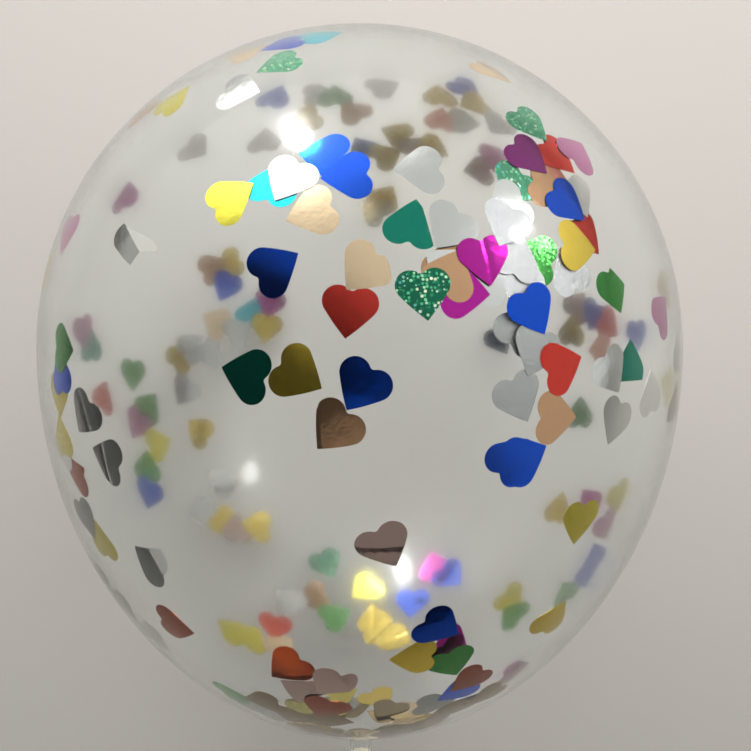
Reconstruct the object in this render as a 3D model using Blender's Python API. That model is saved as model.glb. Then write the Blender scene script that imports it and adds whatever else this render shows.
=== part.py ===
"""A clear latex balloon, blown up and tied, lying on its side. The one latex piece is one closed solid.

It is lofted ring by ring along its own axis: a round crown, a longer tapered half, a short pleated neck,
the knot, and a flared tail that ends in the rolled lip. It is then laid down the way it rolls to rest,
with a small flat spot where it presses on what it lies on. The middle of that spot is the origin, +Z is
up, and +Y runs from the neck towards the crown.
"""

import math

import bmesh
import bpy
from mathutils import Euler, Vector

# Body. Stations along the axis are counted from the widest ring, towards the crown.
BODY_RADIUS = 0.1425
CROWN_LENGTH = 0.1425
TAPER_LENGTH = 0.174
TAPER_PULL = 0.05

# Neck, between the body and the knot.
NECK_RADIUS = 0.0048
NECK_FILLET = 0.0085
NECK_LENGTH = 0.0040
PLEATS = 8
PLEAT_DEPTH = 0.0006
PLEAT_REACH = 0.020

# Knot: two turns of the neck, which lean opposite ways and cross.
KNOT_LENGTH = 0.0110
KNOT_CORE_RADIUS = 0.0042
KNOT_TURN_RADIUS = 0.0030
KNOT_TURN_LEAN = 0.0022
KNOT_CROSSING_ANGLE = math.radians(35)
KNOT_TURN_PLACES = (0.36, 0.64)

# Tail, from the knot to the rolled lip.
TAIL_LENGTH = 0.0190
TAIL_ROOT_RADIUS = 0.0040
TAIL_MOUTH_RADIUS = 0.0100
TAIL_FLARE = 1.6
TAIL_FLATNESS = 0.62
TAIL_DROOP = math.radians(24)
LIP_BEAD_RADIUS = 0.0013
MOUTH_DEPTH = 0.0050
MOUTH_FLOOR_RADIUS = 0.0045

# Resting spot: how far the skin is pressed flat.
SPOT_PRESS = 0.0009

# Mesh fineness.
SEGMENTS = 48
CROWN_RINGS = 17
TAPER_RINGS = 19
FILLET_RINGS = 6
NECK_RINGS = 3
KNOT_RINGS = 14
TAIL_RINGS = 8
LIP_RINGS = 6
MOUTH_RINGS = 3
CENTRE_OF_MASS_STEPS = 400
SHARP_ANGLE = math.radians(35)
CUT_TOLERANCE = 1e-7


def clear_scene():
    for obj in list(bpy.data.objects):
        bpy.data.objects.remove(obj, do_unlink=True)


def latex_material():
    material = bpy.data.materials.new("clear_latex")
    material.use_nodes = True
    shader = material.node_tree.nodes["Principled BSDF"]
    shader.inputs["Base Color"].default_value = (0.86, 0.84, 0.78, 1.0)
    shader.inputs["Roughness"].default_value = 0.12
    shader.inputs["Metallic"].default_value = 0.0
    shader.inputs["Transmission Weight"].default_value = 0.9
    return material


# The body's profile


def taper_radius(sine):
    """Radius of the longer half, where sine runs from 0 at the widest ring to 1 at its end."""
    return BODY_RADIUS * math.sqrt(1.0 - sine * sine) * (1.0 - TAPER_PULL * sine**3)


def body_radius(station):
    if station >= 0.0:
        return BODY_RADIUS * math.sqrt(1.0 - (station / CROWN_LENGTH) ** 2)
    return taper_radius(-station / TAPER_LENGTH)


def taper_end_angle():
    """Angle along the longer half at which the neck's fillet takes over."""
    return math.acos((NECK_RADIUS + NECK_FILLET) / (BODY_RADIUS * (1.0 - TAPER_PULL)))


def fillet_start():
    return -TAPER_LENGTH * math.sin(taper_end_angle())


def knot_start():
    return fillet_start() - NECK_FILLET - NECK_LENGTH


def resting_lean():
    """(station of the centre of mass, lean of the axis, height of the centre of mass before the press).

    The balloon rolls until its centre of mass is as low as it can be, over the nearest point of the wall,
    and that turns the neck down by the lean.
    """
    step = (CROWN_LENGTH + TAPER_LENGTH) / CENTRE_OF_MASS_STEPS
    stations = [-TAPER_LENGTH + (index + 0.5) * step for index in range(CENTRE_OF_MASS_STEPS)]
    areas = [body_radius(station) ** 2 for station in stations]
    centre = sum(area * station for area, station in zip(areas, stations)) / sum(areas)
    contact = min(stations, key=lambda station: math.hypot(station - centre, body_radius(station)))
    lean = math.atan2(centre - contact, body_radius(contact))
    return centre, lean, math.hypot(contact - centre, body_radius(contact))


# Rings of the loft


class Ring:
    """One ring: its centre, its turn about X, and its radius as a function of the angle round it."""

    def __init__(self, station, radius_at, height=0.0, turn=0.0, flatness=1.0):
        self.centre = Vector((0.0, station, height))
        self.radius_at = radius_at
        self.turn = turn
        self.flatness = flatness

    def points(self):
        rotation = Euler((self.turn, 0.0, 0.0)).to_matrix()
        for index in range(SEGMENTS):
            angle = 2.0 * math.pi * index / SEGMENTS
            radius = self.radius_at(angle)
            across = radius * math.cos(angle)
            up = radius * math.sin(angle) * self.flatness
            yield self.centre + rotation @ Vector((across, 0.0, up))


def pleated_ring(station, radius):
    """A ring of the body or neck, whose wall gathers into pleats towards the knot."""
    fade = max(0.0, 1.0 - (station - knot_start()) / PLEAT_REACH) ** 2
    return Ring(station, lambda angle: radius + PLEAT_DEPTH * fade * math.cos(PLEATS * angle))


def crown_rings():
    for index in range(1, CROWN_RINGS):
        angle = 0.5 * math.pi * index / CROWN_RINGS
        yield pleated_ring(CROWN_LENGTH * math.cos(angle), BODY_RADIUS * math.sin(angle))


def taper_rings():
    for index in range(TAPER_RINGS + 1):
        sine = math.sin(taper_end_angle() * index / TAPER_RINGS)
        yield pleated_ring(-TAPER_LENGTH * sine, taper_radius(sine))


def neck_rings():
    for index in range(1, FILLET_RINGS + 1):
        angle = 0.5 * math.pi * index / FILLET_RINGS
        station = fillet_start() - NECK_FILLET * (1.0 - math.cos(angle))
        yield pleated_ring(station, NECK_RADIUS + NECK_FILLET * (1.0 - math.sin(angle)))
    for index in range(1, NECK_RINGS + 1):
        station = fillet_start() - NECK_FILLET - NECK_LENGTH * index / NECK_RINGS
        yield pleated_ring(station, NECK_RADIUS)


def knot_radius(along, angle):
    """Radius of the knot at a distance along it: its core, or one of its two turns where that is larger."""
    radius = KNOT_CORE_RADIUS
    for place, lean in zip(KNOT_TURN_PLACES, (KNOT_TURN_LEAN, -KNOT_TURN_LEAN)):
        middle = KNOT_LENGTH * place + lean * math.cos(angle - KNOT_CROSSING_ANGLE)
        inside = 1.0 - ((along - middle) / KNOT_TURN_RADIUS) ** 2
        if inside > 0.0:
            radius = max(radius, KNOT_CORE_RADIUS + KNOT_TURN_RADIUS * math.sqrt(inside))
    return radius


def knot_ring(along):
    return Ring(knot_start() - along, lambda angle: knot_radius(along, angle))


def knot_rings():
    for index in range(1, KNOT_RINGS + 1):
        yield knot_ring(KNOT_LENGTH * index / (KNOT_RINGS + 1))


def tail_ring(along, radius, flatness):
    """A ring of the tail, whose middle line droops away from the knot along an arc."""
    turn = TAIL_DROOP * along / TAIL_LENGTH
    arc_radius = TAIL_LENGTH / TAIL_DROOP
    station = knot_start() - KNOT_LENGTH - arc_radius * math.sin(turn)
    return Ring(station, lambda _: radius, -arc_radius * (1.0 - math.cos(turn)), turn, flatness)


def tail_rings():
    for index in range(TAIL_RINGS + 1):
        share = index / TAIL_RINGS
        radius = TAIL_ROOT_RADIUS + (TAIL_MOUTH_RADIUS - TAIL_ROOT_RADIUS) * share**TAIL_FLARE
        yield tail_ring(TAIL_LENGTH * share, radius, 1.0 + (TAIL_FLATNESS - 1.0) * share)


def lip_rings():
    """The rolled bead round the mouth, then the mouth's shallow inside."""
    for index in range(1, LIP_RINGS + 1):
        angle = math.pi * index / LIP_RINGS
        along = TAIL_LENGTH + LIP_BEAD_RADIUS * (1.0 - math.cos(angle))
        yield tail_ring(along, TAIL_MOUTH_RADIUS + LIP_BEAD_RADIUS * math.sin(angle), TAIL_FLATNESS)
    rim_radius = TAIL_MOUTH_RADIUS - LIP_BEAD_RADIUS
    for index in range(MOUTH_RINGS + 1):
        share = index / MOUTH_RINGS
        along = TAIL_LENGTH + 2.0 * LIP_BEAD_RADIUS - MOUTH_DEPTH * share
        yield tail_ring(along, rim_radius + (MOUTH_FLOOR_RADIUS - rim_radius) * share, TAIL_FLATNESS)


# The solid


def add_loft(mesh, rings):
    loops = [[mesh.verts.new(point) for point in ring.points()] for ring in rings]
    for first, second in zip(loops, loops[1:]):
        for index in range(SEGMENTS):
            after = (index + 1) % SEGMENTS
            mesh.faces.new((first[index], second[index], second[after], first[after]))
    return loops


def add_fan(mesh, centre, loop):
    tip = mesh.verts.new(centre)
    for index in range(SEGMENTS):
        mesh.faces.new((tip, loop[index], loop[(index + 1) % SEGMENTS]))


def press_spot(mesh):
    """Cuts the skin flat where it rests. Returns the middle of the flat spot and the lean of the axis."""
    centre, lean, height = resting_lean()
    down = Vector((0.0, -math.sin(lean), -math.cos(lean)))
    spot = Vector((0.0, centre, 0.0)) + down * (height - SPOT_PRESS)
    everything = mesh.verts[:] + mesh.edges[:] + mesh.faces[:]
    cut = bmesh.ops.bisect_plane(
        mesh, geom=everything, dist=CUT_TOLERANCE, plane_co=spot, plane_no=down, clear_outer=True
    )
    rim = [item for item in cut["geom_cut"] if isinstance(item, bmesh.types.BMEdge)]
    bmesh.ops.contextual_create(mesh, geom=rim)
    return spot, lean


def balloon_mesh():
    """Mesh of the whole latex piece along its own axis, with the middle of its spot and its lean."""
    mesh = bmesh.new()
    rings = [*crown_rings(), *taper_rings(), *neck_rings(), *knot_rings(), *tail_rings(), *lip_rings()]
    loops = add_loft(mesh, rings)
    add_fan(mesh, Vector((0.0, CROWN_LENGTH, 0.0)), loops[0])
    add_fan(mesh, rings[-1].centre, loops[-1])
    spot, lean = press_spot(mesh)
    bmesh.ops.recalc_face_normals(mesh, faces=mesh.faces[:])
    data = bpy.data.meshes.new("balloon")
    mesh.to_mesh(data)
    mesh.free()
    return data, spot, lean


def make_balloon():
    data, spot, lean = balloon_mesh()
    data.shade_smooth()
    data.set_sharp_from_angle(angle=SHARP_ANGLE)
    data.materials.append(latex_material())
    balloon = bpy.data.objects.new("balloon", data)
    bpy.context.scene.collection.objects.link(balloon)
    laid_down = Euler((lean, 0.0, 0.0))
    balloon.rotation_euler = laid_down
    balloon.location = -(laid_down.to_matrix() @ spot)


def main():
    clear_scene()
    make_balloon()


if __name__ == "__main__":
    main()
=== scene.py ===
"""A clear balloon full of foil heart confetti, lying on its side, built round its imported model.

Laid out as an add-on: the property groups hold the sizes and colours, one operator makes each piece or
group of like pieces, and a panel in the sidebar lists them. Run as a script, it makes everything once.
"""

import math
import random

import bmesh
import bpy
from bpy.props import FloatProperty, FloatVectorProperty, IntProperty, PointerProperty
from mathutils import Euler, Matrix, Vector


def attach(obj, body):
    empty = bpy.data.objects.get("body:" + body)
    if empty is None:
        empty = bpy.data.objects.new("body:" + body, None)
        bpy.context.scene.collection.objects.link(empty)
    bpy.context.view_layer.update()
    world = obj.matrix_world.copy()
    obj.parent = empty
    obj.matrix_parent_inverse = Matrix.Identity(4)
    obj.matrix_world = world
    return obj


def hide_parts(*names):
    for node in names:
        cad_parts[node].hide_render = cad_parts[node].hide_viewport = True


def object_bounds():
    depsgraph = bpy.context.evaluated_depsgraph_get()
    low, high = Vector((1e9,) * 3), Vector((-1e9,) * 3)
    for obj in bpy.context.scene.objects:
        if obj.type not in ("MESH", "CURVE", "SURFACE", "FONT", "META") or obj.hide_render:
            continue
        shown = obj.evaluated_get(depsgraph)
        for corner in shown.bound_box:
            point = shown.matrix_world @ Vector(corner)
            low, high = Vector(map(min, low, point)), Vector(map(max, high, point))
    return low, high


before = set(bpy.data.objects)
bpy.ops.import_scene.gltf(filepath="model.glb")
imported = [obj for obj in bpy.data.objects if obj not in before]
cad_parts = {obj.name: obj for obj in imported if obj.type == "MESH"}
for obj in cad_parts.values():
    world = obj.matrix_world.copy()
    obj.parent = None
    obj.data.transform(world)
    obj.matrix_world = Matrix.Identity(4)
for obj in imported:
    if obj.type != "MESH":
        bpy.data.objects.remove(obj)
CAD_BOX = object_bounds()

bl_info = {
    "name": "Confetti Balloon",
    "version": (1, 0, 0),
    "blender": (4, 5, 0),
    "location": "View3D > Sidebar > Balloon",
    "description": "Builds a clear balloon full of foil heart confetti, lying on its side",
    "category": "Add Mesh",
}

MILLIMETRE = 0.001
SHARP_ANGLE = math.radians(40)


# Sizes and colours


def length_property(name, description, default):
    return FloatProperty(name=name, description=description, default=default, unit="LENGTH")


def angle_property(name, description, degrees):
    return FloatProperty(name=name, description=description, default=math.radians(degrees), unit="ROTATION")


def number_property(name, description, default):
    return FloatProperty(name=name, description=description, default=default)


def count_property(name, description, default):
    return IntProperty(name=name, description=description, default=default)


def power_property(name, description, default):
    return FloatProperty(name=name, description=description, default=default, unit="POWER")


def colour_property(name, description, default):
    return FloatVectorProperty(name=name, description=description, default=default, subtype="COLOR")


def foil_property(name, default):
    words = name.replace("_", " ")
    return colour_property(words.capitalize(), f"Colour of the {words} foil", default)


class BalloonShape(bpy.types.PropertyGroup):
    """The blown-up latex. Stations along its axis are counted from the widest ring, towards the crown."""

    body_radius: length_property("Body radius", "Half the width of the body", CAD_BOX[1][0])
    crown_length: length_property("Crown length", "Widest ring to the crown", 0.1425)
    taper_length: length_property("Taper length", "Widest ring to where the neck begins", 0.174)
    taper_pull: number_property("Taper pull", "How much the longer half is drawn in at its end", 0.05)
    wall: length_property("Wall", "Thickness of the stretched skin", 0.0003)
    inset: length_property("Inset", "How far the skin stays inside the solid", 0.00022)
    press: length_property("Press", "How far the skin is pressed flat where it lies", 0.0009)
    segments: count_property("Segments", "Sides of each ring of the skin", 160)
    rings: count_property("Rings", "Rings in each half of the skin", 48)


class NeckShape(bpy.types.PropertyGroup):
    """The neck, the overhand knot that closes it, and the tail with its rolled lip."""

    radius: length_property("Radius", "Neck just above the knot", 0.0048)
    fillet: length_property("Fillet", "Radius of the curve from body to neck", 0.0085)
    length: length_property("Length", "Straight part of the neck", 0.0040)
    pleats: count_property("Pleats", "Pleats that gather towards the knot", 8)
    pleat_depth: length_property("Pleat depth", "Depth of a pleat", 0.0006)
    pleat_reach: length_property("Pleat reach", "How far the pleats run up the body", 0.020)
    knot_length: length_property("Knot length", "Along the axis", 0.0110)
    knot_core: length_property("Knot core", "Radius inside the turns", 0.0042)
    strand: length_property("Strand", "Radius of the gathered strand that is knotted", 0.0021)
    knot_lean: length_property("Knot lean", "How far the turns lean along the axis", 0.0016)
    knot_turns: number_property("Knot turns", "Turns of the strand round the core", 1.9)
    crossing: angle_property("Crossing", "Where the strand crosses itself", 35)
    tail_length: length_property("Tail length", "Along its middle", 0.0190)
    tail_root: length_property("Tail root", "Radius at the knot", 0.0040)
    tail_mouth: length_property("Tail mouth", "Radius at the lip", 0.0100)
    tail_flare: number_property("Tail flare", "How late the tail opens", 1.6)
    tail_flatness: number_property("Tail flatness", "Height of the mouth over its width", 0.62)
    tail_droop: angle_property("Tail droop", "How far the tail bends down", 24)
    lip: length_property("Lip", "Radius of the rolled lip", 0.0012)
    mouth_depth: length_property("Mouth depth", "How far the open tail is hollow", 0.0120)
    film: length_property("Film", "Thickness of the unstretched latex", 0.0006)


class HeartShape(bpy.types.PropertyGroup):
    """One piece of confetti: a heart punched out of metallised film, its outline in shares of its width."""

    width: length_property("Width", "Across both lobes", 0.0192)
    film: length_property("Film", "Thickness of the film", 0.00006)
    lobe: number_property("Lobe", "Radius of each lobe", 0.275)
    lobe_across: number_property("Lobe across", "Middle of a lobe off the axis", 0.225)
    lobe_up: number_property("Lobe up", "Middle of a lobe above the heart's middle", 0.165)
    notch: number_property("Notch", "Radius in the notch between the lobes", 0.07)
    tip: number_property("Tip", "Tip below the heart's middle", 0.48)
    belly: number_property("Belly", "How far each side bulges", 0.012)
    gap: length_property("Gap", "From the skin to the hearts that lie against it", 0.00015)
    stack: length_property("Stack", "Step from one heart to the one behind it", 0.00018)
    tilt: angle_property("Tilt", "Most that a heart tilts off the wall", 2.2)
    curl: length_property("Curl", "Most that a heart's edge curls off the wall", 0.0008)
    crease: length_property("Crease", "Half the width of a pinched crease", 0.0014)
    heap: count_property("Heap", "Hearts that have slid down round the neck", 36)
    seed: count_property("Seed", "Start of the random draws", 7)


# Foils, in the order in which their pieces are made: colour, roughness and finish.
FOILS = {
    "silver": ((0.83, 0.82, 0.80), 0.14, "plain"),
    "crinkled_silver": ((0.80, 0.80, 0.82), 0.18, "crinkled"),
    # A darker copy of silver: painted shade, for hearts that look dark where they reflect shade.
    "steel": ((0.52, 0.53, 0.52), 0.16, "crinkled"),
    "gold": ((0.82, 0.60, 0.08), 0.16, "plain"),
    "lemon": ((0.90, 0.80, 0.09), 0.17, "plain"),
    "champagne": ((0.92, 0.69, 0.45), 0.16, "plain"),
    "copper": ((0.66, 0.38, 0.21), 0.14, "plain"),
    "russet": ((0.34, 0.06, 0.015), 0.16, "plain"),
    "cocoa": ((0.60, 0.42, 0.38), 0.14, "plain"),
    # A darker, browner copy of gold: painted shade, for hearts along the bottom rim.
    "bronze": ((0.24, 0.16, 0.06), 0.16, "plain"),
    "blue": ((0.001, 0.09, 0.70), 0.06, "plain"),
    "teal": ((0.004, 0.30, 0.20), 0.15, "plain"),
    "red": ((0.78, 0.055, 0.035), 0.16, "plain"),
    "magenta": ((0.53, 0.013, 0.36), 0.12, "plain"),
    # A darker copy of magenta: painted shade, for a heart that looks dark where it reflects shade.
    "plum": ((0.27, 0.035, 0.20), 0.15, "plain"),
    "turquoise": ((0.02, 0.60, 0.74), 0.16, "plain"),
    "coral": ((0.86, 0.33, 0.24), 0.17, "plain"),
    "rose": ((0.60, 0.22, 0.43), 0.17, "plain"),
    "emerald": ((0.006, 0.20, 0.10), 0.17, "holographic"),
    "mint": ((0.13, 0.46, 0.27), 0.17, "holographic"),
    "green": ((0.045, 0.28, 0.045), 0.17, "glitter"),
    "old_gold": ((0.62, 0.52, 0.07), 0.17, "glitter"),
}


class FoilColours(bpy.types.PropertyGroup):
    """The colours of the foils that the hearts are punched from, with darker copies of some that carry
    painted shade.
    """

    __annotations__ = {name: foil_property(name, foil[0]) for name, foil in FOILS.items()}


class StudioSetup(bpy.types.PropertyGroup):
    """Camera, lamps and floor. Places are across, along and above the middle of the balloon's widest ring."""

    camera_across: length_property("Camera across", "To the right of the axis", 0.0067)
    camera_along: length_property("Camera along", "From the widest ring towards the crown", -0.0122)
    camera_distance: length_property("Camera distance", "From the balloon's axis", 0.499)
    lens: FloatProperty(name="Lens", description="Focal length", default=52.1, unit="CAMERA")
    ceiling_power: power_property("Ceiling lamp", "Power of the lamp beyond the crown", 40.0)
    side_power: power_property("Side lamp", "Power of the small lamp to the right", 11.0)
    fill_power: power_property("Fill lamp", "Power of the wide lamp that lights the floor", 27.0)
    lamp_colour: colour_property("Lamp colour", "Colour of every lamp", (1.0, 0.98, 0.955))
    floor_colour: colour_property("Floor colour", "Paint of the floor", (0.525, 0.503, 0.478))


# Hearts on the wall nearer to the viewer, outermost first: foil, millimetres across and along the balloon
# as it is looked at square on, and the way that the tip points, in degrees from "right" and anticlockwise.
# Bends may follow: the kind, the way to the side that moves, in the same degrees, millimetres from the
# middle, and how much it does, which is the degrees of a fold or the millimetres' depth of a crease. A fold
# whose line lies outside the heart, at -12 mm, tilts all of it.
NEAR_HEARTS = [
    # upper left, below the lamp's highlight
    ("blue", -3, 56, 186),
    ("silver", -23, 55, 240),
    ("champagne", -15, 43, 197),
    ("blue", -11, 64, 172),
    ("lemon", -43, 49, 30),
    ("turquoise", -28, 54, 68),
    ("blue", -27, 24, 30),
    ("silver", -81, 36, 270, ("fold", 33, 0.8, 78)),
    # middle
    ("champagne", 3, 23, 230, ("fold", 10, 7.8, 62)),
    ("red", -2, 9, 262),
    ("teal", -37, -12, 165),
    ("gold", -19, -12, 330),
    ("blue", 2, -16, 238),
    ("copper", -7, -30, 230, ("fold", 90, -12.0, 3), ("fold", 180, 5.4, 17)),
    # upper right, at its middle
    ("emerald", 23, 15, 278),
    ("teal", 19, 39, 80, ("fold", 15, 5.2, 174)),
    ("silver", 22, 59, 186),
    ("crinkled_silver", 52, 40, 250),
    ("magenta", 44, 27, 283, ("crease", 13, 1.2, 0.18)),
    ("crinkled_silver", 56, 29, 75, ("fold", 80, -12.0, 3)),
    ("silver", 32, 38, 238),
    ("silver", 53, 47, 215),
    ("copper", 32, 22, 70),
    ("magenta", 37, 16, 357),
    ("silver", 31, 24, 143),
    ("silver", 44, 21, 175),
    ("copper", 32, 26, 80),
    # upper right, at its edge
    ("mint", 64, 81, 320),
    ("plum", 62, 67, 327),
    ("rose", 83, 72, 65),
    ("red", 74, 69, 330),
    ("blue", 76, 50, 330),
    ("copper", 69, 55, 350),
    ("coral", 71, 60, 85),
    ("silver", 81, 54, 300),
    ("mint", 56, 55, 240),
    ("gold", 79, 34, 5),
    ("red", 83, 39, 320),
    ("green", 63, 29, 168, ("fold", 205, -12.0, 5)),
    ("crinkled_silver", 76, 25, 115),
    ("green", 94, 19, 300, ("fold", 65, 6.3, 174)),
    ("blue", 61, 10, 300),
    ("crinkled_silver", 57, 19, 250),
    ("red", 72, -9, 20),
    ("steel", 62, -4, 250),
    ("steel", 57, 4, 55),
    # right
    ("copper", 70, -27, 356),
    ("steel", 56, -20, 293),
    ("blue", 59, -41, 22),
    ("blue", 54, -41, 45),
    ("silver", 95, -29, 245),
    ("silver", 92, -11, 303),
    ("teal", 101, -8, 90, ("fold", 270, 6.3, 174)),
    ("silver", 112, -19, 95),
    ("rose", 118, 12, 55),
    ("bronze", 129, -23, 80),
    ("steel", 130, -3, 90),
    ("old_gold", 82, -66, 257),
    ("gold", 76, -106, 55),
    ("champagne", 52, 106, 330),
    # left edge
    ("silver", -45, 96, 335, ("fold", 270, -12.0, 10)),
    ("mint", -30, 106, 200),
    ("blue", -30, 118, 195),
    ("turquoise", -15, 122, 20),
    ("lemon", -72, 95, 42),
    ("silver", -63, 114, 35),
    ("champagne", -44, 116, 20),
    ("copper", -88, 93, 230),
    ("rose", -116, 44, 240),
    ("gold", -130, 30, 280),
    ("silver", -132, 0, 270),
    ("green", -112, -2, 355),
    ("blue", -114, -11, 98),
    ("old_gold", -116, -20, 270),
    ("old_gold", -116, -36, 103),
    ("silver", -117, -40, 80),
    ("silver", -102, -27, 235, ("crease", 22, 0.0, 0.5)),
    ("silver", -92, -43, 165, ("crease", 10, -2.0, 0.3)),
    ("russet", -110, -50, 190, ("fold", 90, 5.0, 174)),
    ("steel", -107, -68, 305),
    ("old_gold", -100, -76, 110),
    ("steel", -77, -82, 150, ("fold", 33, 2.8, 118)),
    ("russet", -71, -108, 5),
    ("steel", -107, -95, 300),
    ("steel", -97, -106, 320),
    ("silver", -84, -118, 330),
    # towards the neck
    ("cocoa", 10, -71, 296, ("fold", 270, 0.4, 13), ("fold", 270, 1.9, -13)),
    ("blue", 30, -103, 325),
    ("gold", 21, -116, 176),
    ("green", 36, -120, 285),
    ("magenta", 36, -114, 325, ("fold", 35, -12.0, 12)),
    ("russet", 44, -130, 215),
    ("blue", 40, -136, 205),
    ("steel", 31, -142, 350),
    ("bronze", 53, -141, 205),
    ("bronze", 37, -149, 200),
    ("bronze", 47, -145, 25),
    ("bronze", 19, -156, 20),
    ("bronze", 10, -159, 200),
    ("bronze", 2, -160, 340),
    ("russet", -27, -123, 225, ("fold", 75, -12.0, 11)),
    ("cocoa", -10, -128, 235, ("fold", 20, 5.0, 31)),
    ("russet", -13, -141, 250),
    ("cocoa", -22, -132, 150),
    ("bronze", -11, -149, 350),
    ("bronze", -27, -149, 250),
    ("bronze", -39, -142, 200),
    ("green", -52, -142, 30),
    ("steel", -48, -146, 160),
    ("bronze", -18, -160, 350),
    ("steel", -38, -152, 150),
]

# Hearts on the wall away from the viewer, in the same measures.
FAR_HEARTS = [
    ("blue", -44, 128, 60),
    ("silver", -22, 131, 0),
    ("green", -14, 131, 90),
    ("gold", -30, 122, 200),
    ("copper", -5, 126, 130),
    ("silver", 11, 134, 30),
    ("gold", 39, 129, 100),
    ("blue", 51, 129, 330),
    ("gold", 56, 124, 220),
    ("coral", 41, 121, 90),
    ("silver", 53, 119, 10),
    ("silver", 69, 115, 250),
    ("gold", 18, 117, 160),
    ("cocoa", 29, 111, 60),
    ("gold", 38, 110, 340),
    ("blue", 0, 111, 120),
    ("gold", 13, 108, 30),
    ("cocoa", 62, 98, 200),
    ("rose", 70, 103, 40),
    ("gold", 12, 88, 60),
    ("silver", 6, 82, 140),
    ("silver", -52, 112, 80),
    ("silver", -85, 103, 300),
    ("magenta", -116, 76, 60),
    ("gold", -76, 50, 200),
    ("copper", -84, 48, 20),
    ("blue", -78, 38, 240),
    ("magenta", -55, 29, 250),
    ("turquoise", -65, 24, 70),
    ("champagne", -84, 18, 150),
    ("silver", -72, 13, 30),
    ("gold", -57, 15, 260),
    ("silver", -87, 0, 200),
    ("gold", -101, -2, 45),
    ("silver", -99, -21, 240),
    ("green", -122, -12, 270),
    ("red", -132, -23, 80),
    ("green", -115, -29, 60),
    ("rose", -119, -38, 250),
    ("lemon", -110, -49, 30),
    ("green", -114, -60, 100),
    ("blue", -112, -74, 270),
    ("gold", -92, -43, 150),
    ("silver", -78, -73, 20, ("fold", 90, -12.0, 8)),
    ("silver", -88, -86, 200),
    ("gold", -76, -93, 330),
    ("cocoa", -70, -96, 100),
    ("gold", -60, -96, 180),
    ("teal", -136, 3, 90),
    ("rose", -138, 9, 270),
    ("emerald", -21, -117, 300),
    ("copper", -28, -132, 200),
    ("steel", -41, -133, 140),
    ("green", -15, -141, 30),
    ("lemon", -68, -141, 160),
    ("lemon", -59, -146, 200),
    ("red", -47, -143, 270),
    ("champagne", -43, -151, 60),
    ("lemon", 1, -129, 220),
    ("gold", 6, -142, 100, ("crease", 20, 0.0, 0.4)),
    ("gold", 19, -150, 330, ("crease", 10, -2.0, 0.3)),
    ("gold", 11, -149, 60, ("crease", 340, 1.0, 0.3)),
    ("magenta", 40, -117, 100),
    ("blue", 48, -121, 310),
    ("blue", 27, -135, 260),
    ("blue", 78, 8, 300),
    ("cocoa", 115, 25, 60),
    ("blue", 122, 19, 250),
    ("red", 128, 14, 330),
    ("blue", 137, 7, 280),
    ("gold", 113, 12, 90),
    ("coral", 125, 1, 180),
    ("green", 116, -32, 80),
    ("gold", 104, -82, 60),
    ("magenta", 116, -77, 100),
    ("lemon", 126, -72, 250),
    ("gold", 140, 28, 100),
    ("lemon", 142, -17, 280),
    ("rose", 120, -86, 260),
    ("blue", 114, -100, 70),
    ("lemon", 78, -127, 300),
    ("green", 78, -133, 120),
    ("green", 101, -118, 90),
    ("cocoa", 74, -149, 30),
    ("silver", -96, 4, 40),
    ("blue", 110, -108, 250),
]


# Where the balloon lies

CENTRE_OF_MASS_STEPS = 400


def body_sizes():
    return bpy.context.scene.balloon_shape


def neck_sizes():
    return bpy.context.scene.neck_shape


def heart_sizes():
    return bpy.context.scene.heart_shape


def half_length(station):
    """Length of the half of the body, crown or taper, that a station is in."""
    return body_sizes().crown_length if station >= 0.0 else body_sizes().taper_length


def widest_at(along):
    """The body's radius before it rounds off, at a place along from -1 at the neck to 1 at the crown."""
    pull = body_sizes().taper_pull * max(0.0, -along) ** 3
    return body_sizes().body_radius * (1.0 - pull)


def body_radius(station):
    along = max(-1.0, min(1.0, station / half_length(station)))
    return widest_at(along) * math.sqrt(1.0 - along * along)


def taper_end_angle():
    """Angle along the longer half at which the neck's fillet takes over."""
    neck = neck_sizes()
    return math.acos((neck.radius + neck.fillet) / widest_at(-1.0))


def fillet_start():
    return -body_sizes().taper_length * math.sin(taper_end_angle())


def knot_start():
    return fillet_start() - neck_sizes().fillet - neck_sizes().length


def resting_lean():
    """(station of the centre of mass, lean of the axis, height of the centre of mass before the press)."""
    sizes = body_sizes()
    step = (sizes.crown_length + sizes.taper_length) / CENTRE_OF_MASS_STEPS
    stations = [-sizes.taper_length + (index + 0.5) * step for index in range(CENTRE_OF_MASS_STEPS)]
    areas = [body_radius(station) ** 2 for station in stations]
    centre = sum(area * station for area, station in zip(areas, stations)) / sum(areas)
    contact = min(stations, key=lambda station: math.hypot(station - centre, body_radius(station)))
    lean = math.atan2(centre - contact, body_radius(contact))
    return centre, lean, math.hypot(contact - centre, body_radius(contact))


def lie_down():
    """The matrix that takes a point beside the axis (across, station, height) to where it lies."""
    centre, lean, height = resting_lean()
    laid = Euler((lean, 0.0, 0.0)).to_matrix().to_4x4()
    down = Vector((0.0, -math.sin(lean), -math.cos(lean)))
    spot = Vector((0.0, centre, 0.0)) + down * (height - body_sizes().press)
    laid.translation = -(laid.to_3x3() @ spot)
    return laid


def wall_point(direction):
    """The point of the body's wall in a direction of the unit ball."""
    radius = widest_at(direction.y)
    return Vector((radius * direction.x, half_length(direction.y) * direction.y, radius * direction.z))


def ball_direction(point):
    """The direction of the unit ball that a point near the wall belongs to."""
    along = max(-1.0, min(1.0, point.y / half_length(point.y)))
    radius = widest_at(along)
    return Vector((point.x / radius, along, point.z / radius)).normalized()


def wall_normal(direction):
    stretch = half_length(direction.y) / body_sizes().body_radius
    return Vector((direction.x, direction.y / stretch, direction.z)).normalized()


# Shaders


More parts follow.
